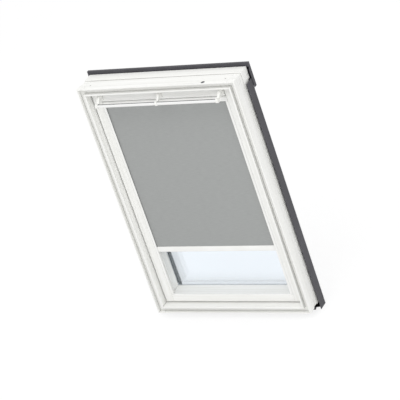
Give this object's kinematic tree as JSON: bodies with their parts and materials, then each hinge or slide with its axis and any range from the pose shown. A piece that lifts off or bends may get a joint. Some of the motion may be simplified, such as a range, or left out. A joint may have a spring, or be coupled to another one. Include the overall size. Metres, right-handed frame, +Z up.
{
  "type": "roof window with roller blind",
  "caption": "Centre-pivot roof window with a ventilation flap worked by a control bar, double glazing, outside metal covers and a roller blind that runs in side rails.",
  "frame": {"origin": "middle of the lower nose face of the frame, the strip of the bottom member that bears on the roof", "axes": "+X across the window to the right as seen from the room, +Y out of the room, +Z up the slope of the roof"},
  "size_m": [0.8, 0.1757, 1.2225],
  "materials": {
    "white_painted_wood": "white paint, satin",
    "grey_cover": "grey lacquered sheet",
    "black_rubber": "matt",
    "anodised_aluminium": "natural anodised",
    "zinc_steel": "zinc plated",
    "white_plastic": "moulded, satin",
    "white_aluminium": "white powder coat",
    "blackout_cloth": "tight woven, coated back",
    "grey_foam": "open foam",
    "clear_glass": "clear, coated"
  },
  "bodies": {
    "frame": {"frame_top": "white_painted_wood", "frame_bottom": "white_painted_wood", "frame_left": "white_painted_wood", "frame_right": "white_painted_wood", "cable_plug": "white_plastic", "striker_plate": "zinc_steel", "bolt_bush": "white_plastic", "hinge_frame_left": "zinc_steel", "hinge_frame_right": "zinc_steel", "frame_seal": "black_rubber", "cap_seal": "black_rubber", "side_cover_left": "grey_cover", "side_cover_right": "grey_cover", "cover_cap_left": "grey_cover", "cover_cap_right": "grey_cover", "hood": "grey_cover", "hood_bracket": "zinc_steel", "sill_apron": "black_rubber"},
    "sash": {"sash_top": "white_painted_wood", "sash_bottom": "white_painted_wood", "sash_left": "white_painted_wood", "sash_right": "white_painted_wood", "inner_pane": "clear_glass", "outer_pane": "clear_glass", "spacer_frame": "anodised_aluminium", "inner_gasket": "black_rubber", "outer_gasket": "black_rubber", "hinge_sash_left": "zinc_steel", "hinge_sash_right": "zinc_steel", "sash_trim_left": "grey_cover", "sash_trim_right": "grey_cover", "sash_cover_left": "grey_cover", "sash_cover_right": "grey_cover", "sash_cover_top": "grey_cover", "sash_cover_bottom": "grey_cover", "lock_case": "zinc_steel", "air_filter": "grey_foam", "flap_seal": "black_rubber", "blind_casing": "white_aluminium", "casing_bracket_left": "white_plastic", "casing_bracket_right": "white_plastic", "rail_left": "white_aluminium", "rail_right": "white_aluminium", "roller_shaft": "zinc_steel"},
    "flap": {"flap_board": "white_painted_wood", "control_bar": "anodised_aluminium", "bar_arm_left": "white_plastic", "bar_arm_middle": "white_plastic", "bar_arm_right": "white_plastic"},
    "latch": {"latch": "zinc_steel"},
    "snib": {"snib_bolt": "zinc_steel"},
    "roller": {"roller_tube": "anodised_aluminium", "roller_plug_left": "white_plastic", "roller_plug_right": "white_plastic", "fabric_roll": "blackout_cloth"},
    "blind_bar": {"fabric": "blackout_cloth", "bottom_bar": "white_aluminium", "bar_end_left": "white_plastic", "bar_end_right": "white_plastic"}
  },
  "joints": [
    {"name": "sash_pivot", "type": "hinge", "parent": "frame", "child": "sash", "pos_m": [0, 0.091, 0.589], "axis": [1, 0, 0], "range_deg": [0, 150]},
    {"name": "flap_tilt", "type": "hinge", "parent": "sash", "child": "flap", "pos_m": [0, 0.029, 1.0985], "axis": [1, 0, 0], "range_deg": [0, 28]},
    {"name": "latch_slide", "type": "slide", "parent": "sash", "child": "latch", "axis": [0, 0, -1], "range_m": [0, 0.008]},
    {"name": "snib_slide", "type": "slide", "parent": "sash", "child": "snib", "axis": [0, 0, 1], "range_m": [0, 0.01]},
    {"name": "blind_slide", "type": "slide", "parent": "sash", "child": "blind_bar", "axis": [0, 0, 1], "range_m": [-0.225, 0.728], "deforming": ["fabric"]},
    {"name": "roller_spin", "type": "hinge", "parent": "sash", "child": "roller", "pos_m": [0, 0.03905, 1.079], "axis": [1, 0, 0], "range_deg": [-4520, 1400]}
  ],
  "couplings": [
    {"joint": "latch_slide", "follows": "flap_tilt", "m_per_rad": 0.0163},
    {"joint": "roller_spin", "follows": "blind_slide", "rad_per_m": -108.11}
  ]
}
